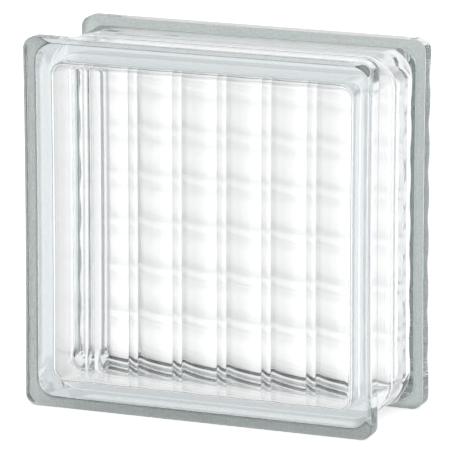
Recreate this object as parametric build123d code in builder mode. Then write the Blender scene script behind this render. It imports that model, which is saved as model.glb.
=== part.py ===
from build123d import *
from math import atan2, cos, sin
import os

# Hollow glass block for walls, 190 x 190 x 80 mm, in millimetres.
# It is two pressed glass halves fused at their open rims into one sealed body. Each half is the same
# pressing: a square tray with a thick face, drafted walls, a rim round its face and reeds pressed
# into the inside of the face. The rear half is turned a quarter, so its reeds cross the front ones.
# The block stands on its lower rims: X runs across it, Y from front to back, Z up from the floor.

# Overall size
face_size = 190.0
block_depth = 80.0

# Rim round each face, which overhangs the mortar channel
rim_depth = 10.0
rim_corner_radius = 6.5
rim_face_rounding = 2.5
rim_channel_bevel = 1.0

# Mortar channel round the four sides, deeper at the seam than at the rims
channel_depth_at_rim = 4.4
channel_depth_at_seam = 4.7
channel_wall_lean = 1.3
channel_root_bevel = 1.5
channel_corner_radius_at_rim = 9.0
channel_corner_radius_at_seam = 16.0

# Bead of glass along the seam where the halves are fused; each pressing has half of its width
bead_rise = 1.1
bead_half_width = 1.4
bead_bevel = 0.7

# Sealed cavity; the face is as thick as this at the ridges between the reeds
face_thickness = 9.0
frame_width_at_face = 12.8
frame_width_at_seam = 10.7
cavity_corner_radius_at_face = 6.9
cavity_corner_radius_at_seam = 9.0
cavity_floor_rounding = 4.0

# Reeds: wide hollow flutes, with a narrow one between each two
reed_pitch = 24.3
narrow_reed_count = 6
narrow_reed_width = 5.1
narrow_reed_depth = 0.4
wide_reed_depth = 1.5
ridge_rounding = 0.8

# How near two heights must be to count as one when edges are picked
same_height = 0.001


def edges_at_height(part, height):
    """Edges whose middle lies at this height in the mould."""
    return part.edges().filter_by_position(Axis.Z, height - same_height, height + same_height)


def vertices_at_height(sketch, height):
    """Corners of a section in the mould that lie at this height."""
    return sketch.vertices().filter_by_position(Axis.Y, height - same_height, height + same_height)


def arc_radius(chord, rise):
    """Radius of the arc that stands this high over a chord."""
    return ((chord / 2) ** 2 + rise**2) / (2 * rise)


# The pressing is made in its mould: the seam lies on the XY plane and the face looks up
face_height = block_depth / 2
rim_base_height = face_height - rim_depth
channel_root_height = rim_base_height - channel_wall_lean
ridge_height = face_height - face_thickness
flute_height = ridge_height + wide_reed_depth

# Bevels at the two edges of the leaning channel wall, measured along it
channel_wall_angle = atan2(channel_wall_lean, channel_depth_at_rim)
floor_rise = (channel_depth_at_seam - channel_depth_at_rim) / channel_root_height
root_up = channel_root_bevel * sin(channel_wall_angle)
root_out = channel_root_bevel * cos(channel_wall_angle)
edge_down = rim_channel_bevel * sin(channel_wall_angle)
edge_in = rim_channel_bevel * cos(channel_wall_angle)

# Outlines of one tray from the seam up to the face: height, depth below the rim, corner radius
tray_outlines = [
    (0, channel_depth_at_seam, channel_corner_radius_at_seam),
    (
        channel_root_height - channel_root_bevel,
        channel_depth_at_rim + floor_rise * channel_root_bevel,
        channel_corner_radius_at_rim,
    ),
    (channel_root_height + root_up, channel_depth_at_rim - root_out, channel_corner_radius_at_rim),
    (rim_base_height - edge_down, edge_in, rim_corner_radius),
    (rim_base_height + rim_channel_bevel, 0, rim_corner_radius),
    (face_height, 0, rim_corner_radius),
]

# Outside of one tray: drafted channel floor, leaning channel wall and upright rim
with BuildPart() as tray:
    for height, depth, corner_radius in tray_outlines:
        with BuildSketch(Plane.XY.offset(height)):
            RectangleRounded(face_size - 2 * depth, face_size - 2 * depth, corner_radius)
    loft(ruled=True)
    fillet(edges_at_height(tray, face_height), radius=rim_face_rounding)

# Half of the bead: a band round the seam with its outer edge bevelled off
bead_depth = channel_depth_at_seam - bead_rise
bead_corner_radius = channel_corner_radius_at_seam + bead_rise
bead_outlines = [(0, 0), (bead_half_width - bead_bevel, 0), (bead_half_width, bead_bevel)]

with BuildPart() as bead:
    for height, inset in bead_outlines:
        bead_side = face_size - 2 * (bead_depth + inset)
        with BuildSketch(Plane.XY.offset(height)):
            RectangleRounded(bead_side, bead_side, bead_corner_radius - inset)
    loft(ruled=True)

# Plunger that presses the inside: a drafted block whose end carries the reeds as long round ribs
with BuildPart() as plunger:
    with BuildSketch(Plane.XY):
        mouth_side = face_size - 2 * frame_width_at_seam
        RectangleRounded(mouth_side, mouth_side, cavity_corner_radius_at_seam)
    with BuildSketch(Plane.XY.offset(flute_height)):
        floor_side = face_size - 2 * frame_width_at_face
        RectangleRounded(floor_side, floor_side, cavity_corner_radius_at_face)
    loft(ruled=True)
    fillet(edges_at_height(plunger, flute_height), radius=cavity_floor_rounding)

    # Section across the reeds: X across them, Y towards the face, level with the ridges at their feet
    with BuildSketch(Plane.XZ) as reeds:
        wide_radius = arc_radius(reed_pitch - narrow_reed_width, wide_reed_depth)
        narrow_radius = arc_radius(narrow_reed_width, narrow_reed_depth)
        Rectangle(face_size, ridge_height, align=(Align.CENTER, Align.MIN))
        with Locations((0, flute_height - wide_radius)):
            with GridLocations(reed_pitch, 0, narrow_reed_count + 1, 1):
                Circle(wide_radius)
        with Locations((0, ridge_height + narrow_reed_depth - narrow_radius)):
            with GridLocations(reed_pitch, 0, narrow_reed_count, 1):
                Circle(narrow_radius)
        ridges = vertices_at_height(reeds, ridge_height).sort_by(Axis.X)
        fillet(ridges[2:-2], radius=ridge_rounding)
    extrude(amount=face_size, both=True, mode=Mode.INTERSECT)

with BuildPart() as pressing:
    add(tray.part)
    add(bead.part)
    add(plunger.part, mode=Mode.SUBTRACT)

# The two pressings set seam to seam and fused: the rear one looks back and is turned a quarter
block_middle = (0, 0, face_size / 2)
front_place = Plane(origin=block_middle, x_dir=(1, 0, 0), z_dir=(0, -1, 0))
rear_place = Plane(origin=block_middle, x_dir=(0, 0, 1), z_dir=(0, 1, 0))

with BuildPart() as glass_block:
    with Locations(front_place, rear_place):
        add(pressing.part)

glass_block.part.label = "glass_block"

os.makedirs("parts", exist_ok=True)
export_step(glass_block.part, "parts/glass_block.step")
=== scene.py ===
import math

import bmesh
import bpy
import numpy as np
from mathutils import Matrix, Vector


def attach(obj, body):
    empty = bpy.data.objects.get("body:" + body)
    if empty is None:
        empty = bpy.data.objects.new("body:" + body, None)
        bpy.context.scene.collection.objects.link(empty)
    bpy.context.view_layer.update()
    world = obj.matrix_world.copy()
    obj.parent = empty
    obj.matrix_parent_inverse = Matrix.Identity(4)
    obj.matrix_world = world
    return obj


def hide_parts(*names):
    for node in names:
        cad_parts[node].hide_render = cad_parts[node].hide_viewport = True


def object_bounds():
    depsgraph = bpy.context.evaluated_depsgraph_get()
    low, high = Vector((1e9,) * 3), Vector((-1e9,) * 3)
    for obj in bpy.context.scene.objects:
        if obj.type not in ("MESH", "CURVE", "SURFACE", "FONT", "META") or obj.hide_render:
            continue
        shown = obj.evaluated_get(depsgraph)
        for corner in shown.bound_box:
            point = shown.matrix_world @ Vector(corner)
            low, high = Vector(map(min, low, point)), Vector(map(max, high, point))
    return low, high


# Hollow glass block, seen from the front and a little from the right and above.
# Sizes are in millimetres, in the block's own frame, and become metres where a mesh is made.

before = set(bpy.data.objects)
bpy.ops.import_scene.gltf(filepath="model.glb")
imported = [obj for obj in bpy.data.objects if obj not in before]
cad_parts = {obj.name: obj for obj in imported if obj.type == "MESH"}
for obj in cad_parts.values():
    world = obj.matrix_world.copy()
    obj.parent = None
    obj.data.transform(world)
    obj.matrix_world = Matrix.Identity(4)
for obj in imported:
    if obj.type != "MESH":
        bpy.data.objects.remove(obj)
cad_low, cad_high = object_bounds()
MM = 0.001

# Overall size, from the frame
face_size = (cad_high.x - cad_low.x) / MM
block_depth = (cad_high.y - cad_low.y) / MM
half_side = face_size / 2
half_depth = block_depth / 2
middle_height = (cad_high.z + cad_low.z) / 2 / MM

# Rim round each face
rim_depth = 10.0
rim_corner_radius = 6.5
rim_face_rounding = 2.5
rim_channel_rounding = 1.4

# Mortar channel round the sides
channel_depth_at_rim = 4.4
channel_depth_at_seam = 4.7
channel_wall_lean = 1.3
channel_root_rounding = 2.0
channel_corner_radius_at_rim = 9.0
channel_corner_radius_at_seam = 16.0

# Bead along the fused seam
bead_rise = 1.1
bead_half_width = 1.4
bead_rounding = 0.6

# Sealed cavity
face_thickness = 9.0
frame_width_at_face = 12.8
frame_width_at_seam = 10.7
cavity_corner_radius_at_seam = 9.0
cavity_floor_rounding = 4.0

# Reeds pressed into the inside of each face: upright ones in front, level ones at the rear
reed_pitch = 24.3
narrow_reed_count = 6
narrow_reed_width = 5.1
narrow_reed_depth = 0.4
wide_reed_depth = 1.5
ridge_softness = 0.16

# The left and right sides are drawn in a little where the glass shrank as it cooled
side_bow = 0.65

# Fineness of the meshes: points along a side, chords round corners and fillets, and the places beside
# each ridge where the reeds are sampled
side_points = 13
corner_chords = 20
fillet_chords = 8
flat_ring_width = 1.0
ridge_outer = 0.27
ridge_inner = 0.09
wide_reed_points = 13
edge_reed_points = 8
cavity_corner_chords = 6
cavity_fillet_chords = 10
cavity_wall_bands = 5
floor_edge_gap = 0.25
weld_distance = 0.002
sharp_angle = 28.0

# Stipple that the mould leaves on the rims' walls beside the channel: where it lies from the seam, its
# grain, and the look it gives. It is slight on the channel floor.
stipple_from = 27.9
stipple_until = 30.3
channel_floor_from = 1.5
stipple_size = 0.9
stipple_contrast = 0.2
grain_low = 0.3
grain_high = 0.7
channel_frost = 0.15
frost_clarity = 0.5
frost_roughness = 0.6
# The frost's grey-green tone is the glass's tint with painted shade in it, which greys the rims
frost_tint_and_painted_shade = "#b2bebb"

# Loss of light along a path in the glass: each colour loses absorption x (1 - its share) for a metre
absorption = 23.0
body_colour = "#e7ebec"

# Unevenness of the pressed skin
wave_length = 14.0
wave_height = 0.03

# Floor: its own light for the camera, and the painted light and painted contact shadow that glass rays
# find beneath the block
floor_glow = 0.55
footprint_half_width = 90.0
# Painted contact shadow under the rear rim, between the inner and outer distance from the seam; the
# outer one also ends the painted light beneath the block
painted_shadow_inner = 35.4
painted_light_and_shadow_outer = 41.8
# Strength of the painted light on the paper beneath the block, as glass rays see it
painted_light_under_block = 0.95

# Surroundings by direction: angles are in degrees from +Y towards +X, and heights are the direction's
# z. Each share is a part of the full light. The pole shift keeps the angle steady straight up.
surroundings_light = 1.33
pole_shift = 0.02
curtain_angle = -52.0
curtain_half_width = 42.0
curtain_share = 0.54
sight_height = -0.2
level_width = 0.24
level_share = 0.81
camera_side_angle = 204.0
camera_side_from = 0.86
camera_side_until = 0.97
camera_side_share = 0.02

# Bounces that a light path may take
glass_bounces = 48
diffuse_bounces = 24

# Heights in the mould of one half, from the seam up to the face
ridge_height = half_depth - face_thickness
flute_height = ridge_height + wide_reed_depth
rim_base_height = half_depth - rim_depth
channel_root_height = rim_base_height - channel_wall_lean


def linear(hex_colour):
    """An sRGB hex colour as the linear red, green, blue and alpha that shaders take."""
    parts = [int(hex_colour[i : i + 2], 16) / 255 for i in (1, 3, 5)]
    return [p / 12.92 if p <= 0.04045 else ((p + 0.055) / 1.055) ** 2.4 for p in parts] + [1.0]


def add_node(tree, kind, inputs=None, **settings):
    """Adds a node and gives its outputs.

    settings are its properties. inputs go by a socket's name or number: another node's socket is
    linked, and a plain value is set on the socket itself.
    """
    node = tree.nodes.new("ShaderNode" + kind)
    for name, value in settings.items():
        setattr(node, name, value)
    for place, source in (inputs or {}).items():
        if isinstance(source, bpy.types.NodeSocket):
            tree.links.new(source, node.inputs[place])
        else:
            node.inputs[place].default_value = source
    return node.outputs


def arc_radius(chord, rise):
    """Radius of an arc: half the chord squared plus the rise squared, over twice the rise."""
    return ((chord / 2) ** 2 + rise**2) / (2 * rise)


def flute_surface(x):
    """Height of the reeded surface at x across the reeds.

    Each reed is an arc of a circle. Wide arcs stand at whole pitches and narrow ones half a pitch
    off, the higher of the two counts, and where they are within ridge_softness of each other they
    run together over a parabola, which rounds the ridge between them.
    """
    wide_radius = arc_radius(reed_pitch - narrow_reed_width, wide_reed_depth)
    narrow_radius = arc_radius(narrow_reed_width, narrow_reed_depth)
    from_wide = (x / reed_pitch - np.round(x / reed_pitch)) * reed_pitch
    from_narrow = reed_pitch / 2 - np.abs(from_wide)
    wide = flute_height - wide_radius + np.sqrt(wide_radius**2 - from_wide**2)
    narrow_reach = np.minimum(from_narrow, narrow_radius)
    narrow_arc = np.sqrt(narrow_radius**2 - narrow_reach**2)
    narrow = ridge_height + narrow_reed_depth - narrow_radius + narrow_arc
    overlap = np.maximum(ridge_softness - np.abs(wide - narrow), 0)
    return np.maximum(wide, narrow) + overlap**2 / (4 * ridge_softness)


def filleted(points, radii, steps):
    """A polyline whose inner corners are arcs that touch both runs, each of as many chords as steps."""
    out = [points[0]]
    for before, corner, after, radius in zip(points, points[1:], points[2:], radii):
        corner = np.array(corner)
        back = np.array(before) - corner
        ahead = np.array(after) - corner
        back /= np.linalg.norm(back)
        ahead /= np.linalg.norm(ahead)
        half_angle = math.acos(float(back @ ahead)) / 2
        if radius == 0:
            out.append(corner)
            continue
        bisector = (back + ahead) / np.linalg.norm(back + ahead)
        centre = corner + bisector * radius / math.sin(half_angle)
        start = corner + back * radius / math.tan(half_angle) - centre
        end = corner + ahead * radius / math.tan(half_angle) - centre
        turn = math.atan2(start[0] * end[1] - start[1] * end[0], float(start @ end))
        angles = np.linspace(0, turn, steps + 1)
        out.extend(
            centre + np.array([c * start[0] - s * start[1], s * start[0] + c * start[1]])
            for c, s in zip(np.cos(angles), np.sin(angles))
        )
    out.append(points[-1])
    return np.array([np.array(p, float) for p in out])


def quarter_turns(points):
    """The same points on the four sides in turn: (x, y) becomes (y, -x) from one side to the next."""
    turned = [points]
    for _ in range(3):
        last = turned[-1]
        turned.append(np.stack([last[:, 1], -last[:, 0]], -1))
    return np.concatenate(turned)


def ring(shares, corner_steps):
    """A rounded square as two arrays: a foot on the unit square and an outward normal for each point.

    A point of any such outline is core times its foot plus radius times its normal, where core is
    half the length of the straight sides. shares are the places of the feet along one side.
    """
    angles = np.linspace(0, math.pi / 2, corner_steps + 1)[1:-1]
    side_feet = np.stack([shares, np.ones(len(shares))], -1)
    side_normals = np.tile([0.0, 1.0], (len(shares), 1))
    corner_normals = np.stack([np.sin(angles), np.cos(angles)], -1)
    feet = np.concatenate([side_feet, np.ones((len(angles), 2))])
    normals = np.concatenate([side_normals, corner_normals])
    return quarter_turns(feet), quarter_turns(normals)


def band_faces(rows, columns):
    """Quads between rows of points that each close on themselves."""
    row, column = np.meshgrid(np.arange(rows - 1), np.arange(columns), indexing="ij")
    here = row * columns + column
    beside = row * columns + (column + 1) % columns
    return np.stack([here, beside, beside + columns, here + columns], -1).reshape(-1, 4)


def grid_faces(rows, columns):
    """Quads of an open grid of points."""
    row, column = np.meshgrid(np.arange(rows - 1), np.arange(columns - 1), indexing="ij")
    here = row * columns + column
    return np.stack([here, here + 1, here + columns + 1, here + columns], -1).reshape(-1, 4)


def outer_skin():
    """Points and faces of the block's outside: the section of rim, channel and bead carried round it.

    The section runs from the front face to the rear one as half width against depth. At each of its
    points the outline is a rounded square whose straight sides shorten from rim to seam, as the
    corners of the channel open up, so radius is half width less the straight half.
    """
    floor_slope = (channel_depth_at_seam - channel_depth_at_rim) / channel_root_height
    floor_at_bead = half_side - channel_depth_at_seam + floor_slope * bead_half_width
    flat_ring = rim_face_rounding + flat_ring_width
    half = filleted(
        [
            (half_side - flat_ring, half_depth),
            (half_side, half_depth),
            (half_side, rim_base_height),
            (half_side - channel_depth_at_rim, channel_root_height),
            (floor_at_bead, bead_half_width),
            (half_side - channel_depth_at_seam + bead_rise, bead_half_width),
            (half_side - channel_depth_at_seam + bead_rise, 0.0),
        ],
        [rim_face_rounding, rim_channel_rounding, channel_root_rounding, 0, bead_rounding],
        fillet_chords,
    )
    section = np.concatenate([half * [1, -1], half[-2::-1]])
    width, depth = section[:, 0], section[:, 1]
    core = np.interp(
        np.abs(depth),
        [0, channel_root_height, rim_base_height],
        [
            half_side - channel_depth_at_seam - channel_corner_radius_at_seam,
            half_side - channel_depth_at_rim - channel_corner_radius_at_rim,
            half_side - rim_corner_radius,
        ],
    )
    feet, normals = ring(np.linspace(-1, 1, side_points), corner_chords)
    flat = core[:, None, None] * feet + (width - core)[:, None, None] * normals
    points = np.stack([flat[..., 0], np.broadcast_to(depth[:, None], flat.shape[:2]), flat[..., 1]], -1)
    count = len(feet)
    faces = [list(f) for f in band_faces(len(section), count)]
    front_face = list(range(count))[::-1]
    rear_face = list(range((len(section) - 1) * count, len(section) * count))
    return points.reshape(-1, 3), faces + [front_face, rear_face]


def reed_places():
    """Places across one face where the reeds are sampled: close on the ridges, wider in the hollows."""
    on_ridge = np.array([-ridge_outer, -ridge_inner, ridge_inner, ridge_outer])
    ridge = narrow_reed_width / 2
    in_wide = np.linspace(ridge + ridge_outer, reed_pitch - ridge - ridge_outer, wide_reed_points)[1:-1]
    in_narrow = np.array([-0.5, 0.0, 0.5]) * ridge
    one_pitch = np.concatenate([in_narrow, ridge + on_ridge, in_wide, reed_pitch - ridge + on_ridge])
    first = -(narrow_reed_count - 1) / 2 * reed_pitch
    inner = np.concatenate([one_pitch + first + i * reed_pitch for i in range(narrow_reed_count - 1)])
    core = half_side - frame_width_at_seam - cavity_corner_radius_at_seam
    beyond = np.linspace(ridge + ridge_outer, core + first, edge_reed_points)[1:]
    outermost = np.concatenate([ridge + on_ridge, beyond])
    return np.concatenate([(first - outermost)[::-1], inner, in_narrow - first, outermost - first])


def cavity_half():
    """Points and faces of one half of the sealed cavity, in its mould, with height up from the seam.

    The reeded floor is a grid over a rounded square. Past its straight half a grid line's excess
    share turns into an offset round the corner, by the concentric map of a square to a disc. The
    side is a band of rings below it: a ball of the fillet's radius rolls round the floor against
    the drafted wall, which gives the arc from floor to wall, and then the wall runs to the seam.
    """
    core = half_side - frame_width_at_seam - cavity_corner_radius_at_seam
    draft = math.atan((frame_width_at_face - frame_width_at_seam) / flute_height)

    def grid_line(places):
        """Feet and excess shares of the grid lines of one direction."""
        before = np.full(cavity_corner_chords, places[0])
        after = np.full(cavity_corner_chords, places[-1])
        past = np.linspace(1, 0, cavity_corner_chords + 1)[:-1]
        excess = np.concatenate([-past, np.zeros(len(places)), past[::-1]])
        return np.concatenate([before, places, after]), excess

    straight, excess = grid_line(reed_places())
    foot_x, foot_y = np.meshgrid(straight, straight)
    excess_x, excess_y = np.meshgrid(excess, excess)
    reach = np.maximum(np.abs(excess_x), np.abs(excess_y))
    lesser = np.minimum(np.abs(excess_x), np.abs(excess_y))
    angle = math.pi / 4 * lesser / np.maximum(reach, 1e-9)
    wider = np.abs(excess_x) >= np.abs(excess_y)
    along_x = np.where(wider, np.cos(angle), np.sin(angle)) * np.sign(excess_x)
    along_y = np.where(wider, np.sin(angle), np.cos(angle)) * np.sign(excess_y)

    def wall_width(height):
        """Half width of the cavity at a height, from its drafted wall."""
        return half_side - frame_width_at_seam - math.tan(draft) * height

    def ball_width(height):
        """Half width where the ball's middle runs while it touches the floor at this height."""
        return wall_width(height - cavity_floor_rounding) - cavity_floor_rounding / math.cos(draft)

    floor_reach = ball_width(ridge_height) - core - floor_edge_gap
    x = foot_x + floor_reach * reach * along_x
    y = foot_y + floor_reach * reach * along_y
    floor = np.stack([x, y, flute_surface(x)], -1)

    rows, columns = x.shape
    # Once round the floor's edge: along the last row, then the last column, the first row and column
    across = np.arange(columns)
    along = np.arange(rows)
    last_row = np.full(columns - 1, rows - 1)
    last_column = np.full(rows - 1, columns - 1)
    column = np.concatenate([across[:-1], last_column, across[:0:-1], 0 * last_column])
    row = np.concatenate([last_row, along[:0:-1], 0 * last_row, along[:-1]])
    feet = np.stack([foot_x[row, column], foot_y[row, column]], -1)
    normals = np.stack([along_x[row, column], along_y[row, column]], -1)

    def at(width, height):
        """Ring points where the cavity is this wide and this high."""
        flat = feet + (width - core)[:, None] * normals
        return np.concatenate([flat, height[:, None]], -1)

    touch = at(np.full(len(row), ball_width(ridge_height)), np.zeros(len(row)))
    floor_height = flute_surface(touch[:, 0])
    middle = floor_height - cavity_floor_rounding
    rings = [floor[row, column]]
    for tilt in np.linspace(math.pi / 2, draft, cavity_fillet_chords + 1):
        rings.append(
            at(
                ball_width(floor_height) + cavity_floor_rounding * math.cos(tilt),
                middle + cavity_floor_rounding * math.sin(tilt),
            )
        )
    wall_top = middle + cavity_floor_rounding * math.sin(draft)
    for share in np.linspace(1, 0, cavity_wall_bands + 1)[1:]:
        rings.append(at(wall_width(wall_top * share), wall_top * share))
    band = np.concatenate(rings)
    side_faces = rows * columns + band_faces(len(rings), len(row))
    faces = np.concatenate([grid_faces(rows, columns), side_faces])
    return np.concatenate([floor.reshape(-1, 3), band]), faces[:, ::-1]


def block_mesh():
    """The fused block as one closed mesh: the outer skin, and the cavity's two halves facing inwards.

    The front half of the cavity is the mould's with its height towards the front, and the rear half
    has it towards the rear and its reeds turned level. The sides are drawn in by a parabola: most at
    half height, and nothing at the top and the bottom.
    """
    outside, outside_faces = outer_skin()
    from_seam = np.abs(outside[:, 1])
    on_rim_wall = (from_seam > stipple_from) & (from_seam < stipple_until)
    on_channel_floor = (from_seam > channel_floor_from) & (from_seam < stipple_from)
    # Frost on the rim walls and a little on the channel floor, which also places the painted shade of
    # its grey tone
    frost_and_painted_shade = np.where(on_rim_wall, 1.0, np.where(on_channel_floor, channel_frost, 0.0))
    mould, mould_faces = cavity_half()
    front = np.stack([mould[:, 0], -mould[:, 2], mould[:, 1]], -1)
    rear = np.stack([mould[:, 1], mould[:, 2], mould[:, 0]], -1)
    points = np.concatenate([outside, front, rear])
    points[:, 0] *= 1 - side_bow / half_side * (1 - (points[:, 2] / half_side) ** 2)
    points[:, 2] += middle_height
    faces = outside_faces
    faces += [list(f) for f in mould_faces + len(outside)]
    faces += [list(f) for f in mould_faces + len(outside) + len(mould)]
    mesh = bpy.data.meshes.new("fused_glass")
    mesh.from_pydata(points * MM, [], faces)
    frost_and_painted_shade = np.concatenate([frost_and_painted_shade, np.zeros(len(points) - len(outside))]).astype(np.float32)
    mesh.attributes.new("frost_and_painted_shade", "FLOAT", "POINT").data.foreach_set("value", frost_and_painted_shade)
    working = bmesh.new()
    working.from_mesh(mesh)
    bmesh.ops.remove_doubles(working, verts=working.verts, dist=weld_distance * MM)
    working.to_mesh(mesh)
    working.free()
    mesh.shade_smooth()
    mesh.set_sharp_from_angle(angle=math.radians(sharp_angle))
    return mesh


def pressed_glass():
    """Soda-lime glass, pressed and fire-polished: clear, with an uneven skin and a trace of green.

    The wall of each rim beside the channel has a fine stipple left by the mould, which mortar grips,
    and the channel floor is a little matt from it. It scatters the light, and its grey-green tone is the
    glass's tint with painted shade in it, so a rim looks grey through the face. Light that runs along
    the thick edges comes out grey-green, while the faces stay clear.
    """
    material = bpy.data.materials.new("pressed_glass")
    material.use_nodes = True
    tree = material.node_tree
    tree.nodes.clear()
    place = add_node(tree, "TexCoord")["Object"]
    stippled = add_node(tree, "Attribute", attribute_name="frost_and_painted_shade")["Fac"]

    grain_scale = 1 / (stipple_size * MM)
    grain = add_node(tree, "TexNoise", {"Vector": place, "Scale": grain_scale, "Detail": 1.0})["Fac"]
    grainy = add_node(
        tree,
        "MapRange",
        {
            "Value": grain,
            "From Min": grain_low,
            "From Max": grain_high,
            "To Min": 1.0 - stipple_contrast,
        },
    )["Result"]
    frost_and_painted_shade = add_node(tree, "Math", {0: stippled, 1: grainy}, operation="MULTIPLY")[0]
    clearness = {"Value": frost_and_painted_shade, "To Min": 1.0, "To Max": frost_clarity}
    clear = add_node(tree, "MapRange", clearness)["Result"]
    rough = add_node(tree, "MapRange", {"Value": frost_and_painted_shade, "To Max": frost_roughness})["Result"]
    # Base colour: white where clear, and where frosted the grey-green tone, the glass's tint with
    # painted shade in it
    # Sockets 6 and 7 of this node are its colours, and its output 2 is the mixed one
    tint_and_painted_shade_inputs = {0: frost_and_painted_shade, 6: linear("#ffffff"), 7: linear(frost_tint_and_painted_shade)}
    tint_and_painted_shade = add_node(tree, "Mix", tint_and_painted_shade_inputs, data_type="RGBA")[2]

    wave_scale = 1 / (wave_length * MM)
    waves = add_node(tree, "TexNoise", {"Vector": place, "Scale": wave_scale, "Detail": 1.0})["Fac"]
    uneven = add_node(
        tree, "Bump", {"Height": waves, "Strength": 1.0, "Distance": wave_height * MM}
    )["Normal"]

    shader = add_node(
        tree,
        "BsdfPrincipled",
        {
            "Base Color": tint_and_painted_shade,
            "IOR": 1.52,
            "Roughness": rough,
            "Transmission Weight": clear,
            "Normal": uneven,
        },
    )["BSDF"]
    body = add_node(
        tree, "VolumeAbsorption", {"Color": linear(body_colour), "Density": absorption}
    )["Volume"]
    add_node(tree, "OutputMaterial", {"Surface": shader, "Volume": body})
    return material


def studio_floor():
    """Pale matt paper that shows as white and keeps the block's soft shadow.

    Glass rays pass it and find the white surroundings, so that those show in the glass. Only
    beneath the block they find painted light instead, with a painted contact shadow where the rear
    rim stands on it.
    """
    half = 4.0
    mesh = bpy.data.meshes.new("floor")
    corners = [(-half, -half, 0), (half, -half, 0), (half, half, 0), (-half, half, 0)]
    mesh.from_pydata(corners, [], [(0, 1, 2, 3)])
    floor = bpy.data.objects.new("floor", mesh)
    bpy.context.scene.collection.objects.link(floor)
    material = bpy.data.materials.new("matt_white_paper_painted_shadow")
    material.use_nodes = True
    tree = material.node_tree
    tree.nodes.clear()
    ray = add_node(tree, "LightPath")
    place = add_node(tree, "TexCoord")["Object"]
    parts = add_node(tree, "SeparateXYZ", {"Vector": place})

    glow = add_node(tree, "Math", {0: ray["Is Camera Ray"], 1: floor_glow}, operation="MULTIPLY")[0]
    paper = add_node(
        tree,
        "BsdfPrincipled",
        {
            "Base Color": linear("#f4f4f4"),
            "Roughness": 1.0,
            "Emission Color": linear("#ffffff"),
            "Emission Strength": glow,
        },
    )["BSDF"]

    # Beneath the block glass rays see painted light, with a painted contact shadow under the rear rim
    from_middle = add_node(tree, "Math", {0: parts["X"]}, operation="ABSOLUTE")[0]
    from_seam = add_node(tree, "Math", {0: parts["Y"]}, operation="ABSOLUTE")[0]
    past_side = add_node(
        tree, "Math", {0: from_middle, 1: footprint_half_width * MM}, operation="GREATER_THAN"
    )[0]
    past_rim = add_node(tree, "Math", {0: from_seam, 1: painted_light_and_shadow_outer * MM}, operation="GREATER_THAN")[0]
    uncovered = add_node(tree, "Math", {0: past_side, 1: past_rim}, operation="MAXIMUM")[0]
    clear_of_painted_shadow = add_node(tree, "Math", {0: parts["Y"], 1: painted_shadow_inner * MM}, operation="LESS_THAN")[0]
    painted_light_level = add_node(tree, "Math", {0: clear_of_painted_shadow, 1: painted_light_under_block}, operation="MULTIPLY")[0]
    painted_light_beneath = add_node(tree, "Emission", {"Color": linear("#ffffff"), "Strength": painted_light_level})["Emission"]
    passed = add_node(tree, "BsdfTransparent")["BSDF"]
    in_glass = add_node(tree, "MixShader", {0: uncovered, 1: painted_light_beneath, 2: passed})["Shader"]

    glass_rays = {0: ray["Is Glossy Ray"], 1: ray["Is Transmission Ray"]}
    glass_ray = add_node(tree, "Math", glass_rays, operation="MAXIMUM")[0]
    surface = add_node(tree, "MixShader", {0: glass_ray, 1: paper, 2: in_glass})["Shader"]
    add_node(tree, "OutputMaterial", {"Surface": surface})
    mesh.materials.append(material)


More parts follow.
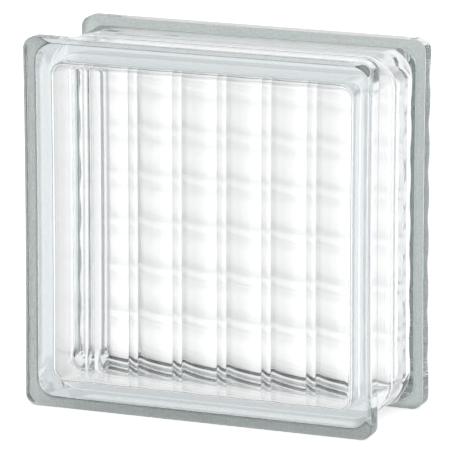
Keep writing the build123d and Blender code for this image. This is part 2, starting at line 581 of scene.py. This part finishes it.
def studio_world():
    """White surroundings with three soft shades in them, which give the clear glass its drawing.

    Each shade is a smooth step between two shares of the light: over the angle from a curtain left
    of straight behind, over the height from the line of sight, and over the cosine of the angle
    from the camera's side. Their product is the share of full light from a direction.
    """
    world = bpy.data.worlds.new("studio")
    world.use_nodes = True
    tree = world.node_tree
    tree.nodes.clear()
    place = add_node(tree, "TexCoord")["Generated"]
    parts = add_node(tree, "SeparateXYZ", {"Vector": place})

    past_pole = add_node(tree, "Math", {0: parts["Y"], 1: pole_shift}, operation="ADD")[0]
    angle = add_node(tree, "Math", {0: parts["X"], 1: past_pole}, operation="ARCTAN2")[0]
    turned = add_node(tree, "Math", {0: angle, 1: math.radians(curtain_angle)}, operation="SUBTRACT")[0]
    from_curtain = add_node(tree, "Math", {0: turned}, operation="ABSOLUTE")[0]
    curtain = add_node(
        tree,
        "MapRange",
        {"Value": from_curtain, "From Max": math.radians(curtain_half_width), "To Min": curtain_share},
        interpolation_type="SMOOTHSTEP",
    )["Result"]

    raised = add_node(tree, "Math", {0: parts["Z"], 1: sight_height}, operation="SUBTRACT")[0]
    from_sight = add_node(tree, "Math", {0: raised}, operation="ABSOLUTE")[0]
    level = add_node(
        tree,
        "MapRange",
        {"Value": from_sight, "From Max": level_width, "To Min": 1.0, "To Max": level_share},
        interpolation_type="SMOOTHSTEP",
    )["Result"]

    side_x = math.sin(math.radians(camera_side_angle))
    side_y = math.cos(math.radians(camera_side_angle))
    along_x = add_node(tree, "Math", {0: parts["X"], 1: side_x}, operation="MULTIPLY")[0]
    toward = add_node(tree, "Math", {0: parts["Y"], 1: side_y, 2: along_x}, operation="MULTIPLY_ADD")[0]
    front = add_node(
        tree,
        "MapRange",
        {
            "Value": toward,
            "From Min": camera_side_from,
            "From Max": camera_side_until,
            "To Min": 1.0,
            "To Max": camera_side_share,
        },
        interpolation_type="SMOOTHSTEP",
    )["Result"]

    behind = add_node(tree, "Math", {0: curtain, 1: level}, operation="MULTIPLY")[0]
    share = add_node(tree, "Math", {0: behind, 1: front}, operation="MULTIPLY")[0]
    strength = add_node(tree, "Math", {0: share, 1: surroundings_light}, operation="MULTIPLY")[0]
    white = linear("#ffffff")
    light = add_node(tree, "Background", {"Color": white, "Strength": strength})["Background"]
    add_node(tree, "OutputWorld", {"Surface": light})
    bpy.context.scene.world = world


def camera():
    """The photograph's view, on a long lens: 24 degrees right of the front and 12 degrees above it."""
    turn = math.radians(23.74)
    tilt = math.radians(12.08)
    distance = 2.6
    target = Vector((0.0, 0.0, 0.0927))
    ahead = Vector((-math.sin(turn) * math.cos(tilt), math.cos(turn) * math.cos(tilt), -math.sin(tilt)))
    data = bpy.data.cameras.new("camera")
    data.sensor_width = 36.0
    data.lens = 409.2
    data.clip_end = 50.0
    eye = bpy.data.objects.new("camera", data)
    eye.location = target - ahead * distance
    eye.rotation_mode = "QUATERNION"
    eye.rotation_quaternion = ahead.to_track_quat("-Z", "Y")
    bpy.context.scene.collection.objects.link(eye)
    bpy.context.scene.camera = eye


def long_light_paths():
    """Light paths long enough for thick glass, which passes light from wall to wall many times."""
    cycles = bpy.context.scene.cycles
    cycles.max_bounces = glass_bounces
    cycles.transmission_bounces = glass_bounces
    cycles.glossy_bounces = glass_bounces
    cycles.diffuse_bounces = diffuse_bounces


camera()
long_light_paths()
studio_world()
studio_floor()

block = bpy.data.objects.new("glass_block_body", block_mesh())
bpy.context.scene.collection.objects.link(block)
block.data.materials.append(pressed_glass())
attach(block, "root")
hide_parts("glass_block")

view = bpy.context.scene.view_settings
view.view_transform = "Standard"
